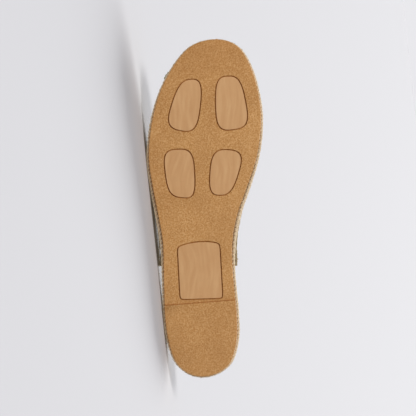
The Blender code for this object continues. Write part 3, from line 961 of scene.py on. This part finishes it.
ROPE_TOP = rope_head
FOLDS = (  # start and end, each (angle, x), then width and depth
    ((164, 0.190), (24, 0.176), 0.0050, 0.0034),
    ((152, 0.170), (52, 0.162), 0.0042, 0.0026),
    ((124, 0.212), (18, 0.196), 0.0046, 0.0024),
    ((178, 0.116), (112, 0.150), 0.0036, 0.0022),
    ((2, 0.110), (70, 0.146), 0.0036, 0.0022),
    ((176, 0.142), (126, 0.164), 0.0034, 0.0016),
    ((6, 0.150), (58, 0.168), 0.0034, 0.0016),
)
SAG = (0.208, 0.012, 0.022, 0.022, 0.0020)  # x, y, reach along, reach across, depth
TOE_PLEATS = 26
TOE_PLEAT_DEPTH = 0.00035
PLEAT_HEIGHT = 0.003  # of the pleats' middle above the rope
PLEAT_REACH = 0.009
TUCK_HEIGHT = 0.014
for vertex in vamp.data.vertices:
    point = room_to_shoe @ vertex.co
    hem_share = max(0, 1 - (point.z - ROPE_TOP) / TUCK_HEIGHT)
    tucked = WAIST_TUCK * at_waist(point.x) * min(hem_share, 1)
    vertex.co -= inner * math.copysign(tucked, point.y - SOLE_MIDDLE)
    outwards = Vector((0, point.y - SOLE_MIDDLE, point.z - ROPE_TOP))
    if point.x > TOE_CENTRE.x:
        outwards.x = point.x - TOE_CENTRE.x
    outwards.normalize()
    inwards = sum(fold_depth(point, *fold) for fold in FOLDS)
    x, y, reach_x, reach_y, depth = SAG
    if outwards.z > 0:
        far = ((point.x - x) / reach_x) ** 2 + ((point.y - y) / reach_y) ** 2
        inwards += depth * outwards.z * math.exp(-far)
    around = math.atan2(point.y - TOE_CENTRE.y, point.x - TOE_CENTRE.x)
    low = max(0, 1 - abs(point.z - ROPE_TOP - PLEAT_HEIGHT) / PLEAT_REACH)
    front = max(0, math.cos(around)) ** 0.7 if point.x > TOE_CENTRE.x else 0
    inwards += TOE_PLEAT_DEPTH * low * front * math.sin(around * TOE_PLEATS)
    vertex.co -= shoe_to_room.to_3x3() @ outwards * inwards
print("folds:", len(FOLDS), "and", TOE_PLEATS, "small pleats round the toe")

# %% [markdown]
# The weave needs a map that follows the cloth. Here it is laid like a tailor's tape: u runs along the
# shoe, and v over the foot from the outer side to the inner. Over the toe, u goes on round the bend as an
# angle and v narrows with it, as on a globe, so that no thread is stretched. The faces that look inwards
# get the lining.

# %% Upper: map, lining and finish
OUTSIDE, LINING = 0, 1
GIRTH_RADIUS = 0.045
TOE_RADIUS = 0.042
TAPE_DEPTH = 0.012


def tape_place(point):
    """Where a point of the cloth lies on the flat tape, in metres."""
    up = point.z - ROPE_TOP + TAPE_DEPTH
    side = point.y - SOLE_MIDDLE
    girth = math.atan2(side, up)
    ahead = point.x - TOE_CENTRE.x
    if ahead <= 0:
        return point.x, girth * GIRTH_RADIUS
    bend = math.atan2(ahead, math.hypot(side, up))
    return TOE_CENTRE.x + bend * TOE_RADIUS, girth * GIRTH_RADIUS * math.cos(bend)


tape = vamp.data.uv_layers.get("UVMap") or vamp.data.uv_layers.new(name="UVMap")
for face in vamp.data.polygons:
    centre = room_to_shoe @ face.center
    normal = room_to_shoe.to_3x3() @ face.normal
    away = Vector((0, centre.y - SOLE_MIDDLE, centre.z - ROPE_TOP + 0.004))
    if centre.x > TOE_CENTRE.x + 0.01:
        away.x = centre.x - TOE_CENTRE.x
    face.material_index = LINING if normal.dot(away.normalized()) < -0.1 else OUTSIDE
    for loop in face.loop_indices:
        vertex = vamp.data.vertices[vamp.data.loops[loop].vertex_index]
        tape.data[loop].uv = tape_place(room_to_shoe @ vertex.co)
canvas = make_cloth(
    "washed canvas",
    0.0009,
    (from_screen(158, 142, 111), from_screen(178, 162, 131)),
    (from_screen(144, 127, 97), from_screen(168, 151, 121)),
    (0.88, 0.87, 0.84),
)
lining = make_cloth(
    "lining cloth",
    0.0007,
    (from_screen(180, 166, 140), from_screen(204, 190, 164)),
    (from_screen(168, 152, 126), from_screen(194, 178, 150)),
    (0.92, 0.90, 0.88),
)
smooth(vamp, 60)
dress(vamp, "canvas", canvas.material, lining.material)
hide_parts("upper")

# %% [markdown]
# Thread is what makes a sewn shoe look sewn. A stitch is a short grain of thread that rises from the
# cloth and dives back in: one is modelled, and each other is a copy that is turned to the cloth below it.

# %% Thread: model one stitch
STITCH_LENGTH = 0.0026
THREAD_RADIUS = 0.00024
bpy.ops.object.select_all(action="DESELECT")
bpy.ops.mesh.primitive_uv_sphere_add(segments=8, ring_count=7, radius=1, rotation=(0, math.pi / 2, 0))
stitch = bpy.context.object
stitch.name = "stitch"
stitch.scale = (THREAD_RADIUS, THREAD_RADIUS, STITCH_LENGTH / 2)
bpy.ops.object.transform_apply(location=True, rotation=True, scale=True)
for vertex in stitch.data.vertices:
    vertex.co.z -= (vertex.co.x / STITCH_LENGTH * 2) ** 2 * THREAD_RADIUS * 1.2
print("one stitch has", len(stitch.data.polygons), "faces")


def sew(name, unit, places):
    """One mesh of copies of unit at places: (point, run, out) in the shoe's own axes."""
    verts, faces = [], []
    for point, run, out in places:
        run = run.normalized()
        across = out.cross(run).normalized()
        turn = Matrix((run, across, run.cross(across))).transposed()
        base = len(verts)
        verts.extend(turn @ vertex.co + point for vertex in unit.data.vertices)
        faces.extend(tuple(base + k for k in face.vertices) for face in unit.data.polygons)
    mesh = bpy.data.meshes.new(name)
    mesh.from_pydata(verts, [], faces)
    mesh.update()
    piece = link_mesh(name, mesh)
    lay_in_room(piece)
    smooth(piece, 80)
    return piece


# %% [markdown]
# The dressed vamp itself is measured now, with its folds, so that every stitch lies on the cloth. A ray
# comes in from outside at an angle over the foot. Behind the throat's edge it meets nothing, and halving
# the step again and again finds where the edge is. The two rows of stitches then run beside it.

# %% Thread: two rows along the throat
vamp_tree = BVHTree.FromPolygons(
    [room_to_shoe @ vertex.co for vertex in vamp.data.vertices],
    [face.vertices[:] for face in vamp.data.polygons],
)
RAY_START = 0.1  # from the middle of the shoe
RAY_LENGTH = 0.095
THROAT_REACH = (0.06, 0.16)
HALVINGS = 14


def on_vamp(x, degrees):
    """(point, outward normal) of the cloth's outer face, or None behind the throat's edge."""
    out = Vector((0, math.cos(math.radians(degrees)), math.sin(math.radians(degrees))))
    start = Vector((x, SOLE_MIDDLE, ROPE_TOP))
    hit, normal, _, _ = vamp_tree.ray_cast(start + out * RAY_START, -out, RAY_LENGTH)
    if hit is None:
        return None
    return hit, (normal if normal.dot(out) > 0 else -normal)


def throat_x(degrees):
    """How far forward the throat's edge is at an angle over the foot."""
    behind, ahead = THROAT_REACH
    for _ in range(HALVINGS):
        middle = (behind + ahead) / 2
        if on_vamp(middle, degrees):
            ahead = middle
        else:
            behind = middle
    return ahead


ROW_OFFSETS = (0.0022, 0.0056)
ROW_STEPS = 360
STITCH_PITCH = 0.0031
thread_finish = Finish("waxed thread", **{"Roughness": 0.6, "Specular IOR Level": 0.4})
ply = thread_finish.noise(thread_finish.mapped("Object"), 0.0005, detail=2)
thread_finish.colour(
    thread_finish.ramp(ply, (0.35, from_screen(138, 120, 88)), (0.65, from_screen(184, 167, 132)))
)
thread_finish.bump(ply, 0.0001, 0.6)
seam_places = []
for offset in ROW_OFFSETS:
    line = []
    for k in range(ROW_STEPS + 1):
        degrees = 1 + 178 * k / ROW_STEPS
        found = on_vamp(throat_x(degrees) + offset, degrees)
        if found:
            line.append(found)
    travelled = 0
    goal = STITCH_PITCH
    for (a, normal), (b, _) in zip(line, line[1:]):
        travelled += (b - a).length
        if travelled > goal:
            seam_places.append((b + normal * THREAD_RADIUS * 0.4, b - a, normal))
            goal += STITCH_PITCH
seam = sew("throat_seam", stitch, seam_places)
dress(seam, "canvas", thread_finish.material)
print("stitches along the throat:", len(seam_places))

# %% [markdown]
# The vamp is joined to the rope by hand, with a blanket stitch: the thread runs along the canvas edge and
# loops down over it into the plait every six millimetres or so. One loop and the run to the next are
# modelled as a tube along a bent line, and the copies follow the edge round the toe. The canvas's lower
# edge is found by rays that look in from outside, each a little higher than the last.

# %% Thread: blanket stitches round the hem
BLANKET_PITCH = 0.0062
BLANKET_RADIUS = 0.00042


def tube(name, points, radius):
    """A closed tube through points."""
    curve = bpy.data.curves.new(name, "CURVE")
    curve.dimensions = "3D"
    curve.bevel_depth = radius
    curve.bevel_resolution = 1
    curve.use_fill_caps = True
    spline = curve.splines.new("POLY")
    spline.points.add(len(points) - 1)
    for point, place in zip(spline.points, points):
        point.co = (*place, 1)
    piece = bpy.data.objects.new(name, curve)
    bpy.context.scene.collection.objects.link(piece)
    pick(piece)
    bpy.ops.object.convert(target="MESH")
    return bpy.context.object


LOOP_LINE = (
    (0.0000, 0.0036, -0.0008),
    (0.0000, 0.0030, 0.0001),
    (0.0000, 0.0016, 0.0005),
    (0.0001, 0.0000, 0.0005),
    (0.0002, -0.0016, 0.0003),
    (0.0003, -0.0024, -0.0010),
)
loop_unit = tube("loop_unit", LOOP_LINE, BLANKET_RADIUS)
run_line = [(BLANKET_PITCH * k / 4, -0.0002 * math.sin(math.pi * k / 4), 0.0004) for k in range(5)]
run_unit = tube("run_unit", run_line, BLANKET_RADIUS)
HEM_LEVEL = 0.985  # share of the rope's height
HEM_POINTS = 2400
HEM_SEARCH = [step * 0.0005 for step in range(-12, 7)]
HEM_ROOM = 0.0009
HEM_RAY_START = 0.03
HEM_RAY_LENGTH = 0.04
hem_points, hem_length = spread_evenly(side_line(HEM_LEVEL), HEM_POINTS)


def hem_above(point, out):
    """Where the canvas's lower edge is, looking in from outside at a point of the rope's top line."""
    for rise in HEM_SEARCH:
        start = point + out * HEM_RAY_START + Vector((0, 0, rise))
        if vamp_tree.ray_cast(start, -out, HEM_RAY_LENGTH)[0]:
            start.z += HEM_ROOM
            return vamp_tree.ray_cast(start, -out, HEM_RAY_LENGTH)[0]
    return None


hem_places = []
travelled = BLANKET_PITCH
for i, point in enumerate(hem_points):
    travelled += hem_length / len(hem_points)
    if travelled < BLANKET_PITCH:
        continue
    out = outward_of(hem_points, i)
    found = hem_above(point, out)
    if found is None:
        continue
    travelled = 0
    run = Vector((-out.y, out.x, 0))
    hem_places.append((found, run, out))
loops = sew("blanket_loops", loop_unit, hem_places)
dress(loops, "canvas", thread_finish.material)
runs = sew("blanket_runs", run_unit, hem_places[:-1])
dress(runs, "canvas", thread_finish.material)
print("blanket stitches:", len(hem_places))

# %% [markdown]
# One thread end is tied off at the outer side of the toe. The knot is a line that winds three times up
# and down while it goes twice round, with a short tail at each end, as a tube of a duller thread.

# %% Thread: the tied-off end
KNOT_X = 0.222
KNOT_RADIUS = 0.0013
KNOT_STEPS = 32
KNOT_OUT = 0.0030
KNOT_DROP = 0.0052
knot_finish = Finish("olive thread", **{"Roughness": 0.7, "Base Color": (*from_screen(160, 154, 122), 1)})
nearest = min(range(len(hem_points)), key=lambda i: abs(hem_points[i].x - KNOT_X) + (hem_points[i].y > 0))
knot_out = outward_of(hem_points, nearest)
knot_run = Vector((-knot_out.y, knot_out.x, 0))
knot_line = []
for k in range(KNOT_STEPS + 1):
    t = 2 * math.pi * k / KNOT_STEPS
    radius = KNOT_RADIUS + 0.0006 * math.cos(3 * t)
    knot_line.append((radius * math.cos(2 * t), radius * math.sin(2 * t), 0.0014 * math.sin(3 * t)))
first_tail = [(0.0036, 0.0010, 0.0010), (0.0024, 0.0006, 0.0010)]
last_tail = [(-0.0024, 0.0012, 0.0012)]
knot_unit = tube("knot_unit", first_tail + knot_line + last_tail, 0.0006)
knot_place = hem_points[nearest] + knot_out * KNOT_OUT - Vector((0, 0, KNOT_DROP))
knot = sew("thread_knot", knot_unit, [(knot_place, knot_run, knot_out)])
dress(knot, "canvas", knot_finish.material)
for unit in (stitch, loop_unit, run_unit, knot_unit):
    bpy.data.objects.remove(unit)

# %% [markdown]
# Last, the two boxes are kept side by side: what was packed and what is shown. Their difference has to
# stay within what cloth may stand proud of its solid.

# %% Sizes, and the end
visual_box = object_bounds()
for name, box in (("packed", cad_box), ("shown", visual_box)):
    print(name, [[round(value * 1000, 1) for value in corner] for corner in box])
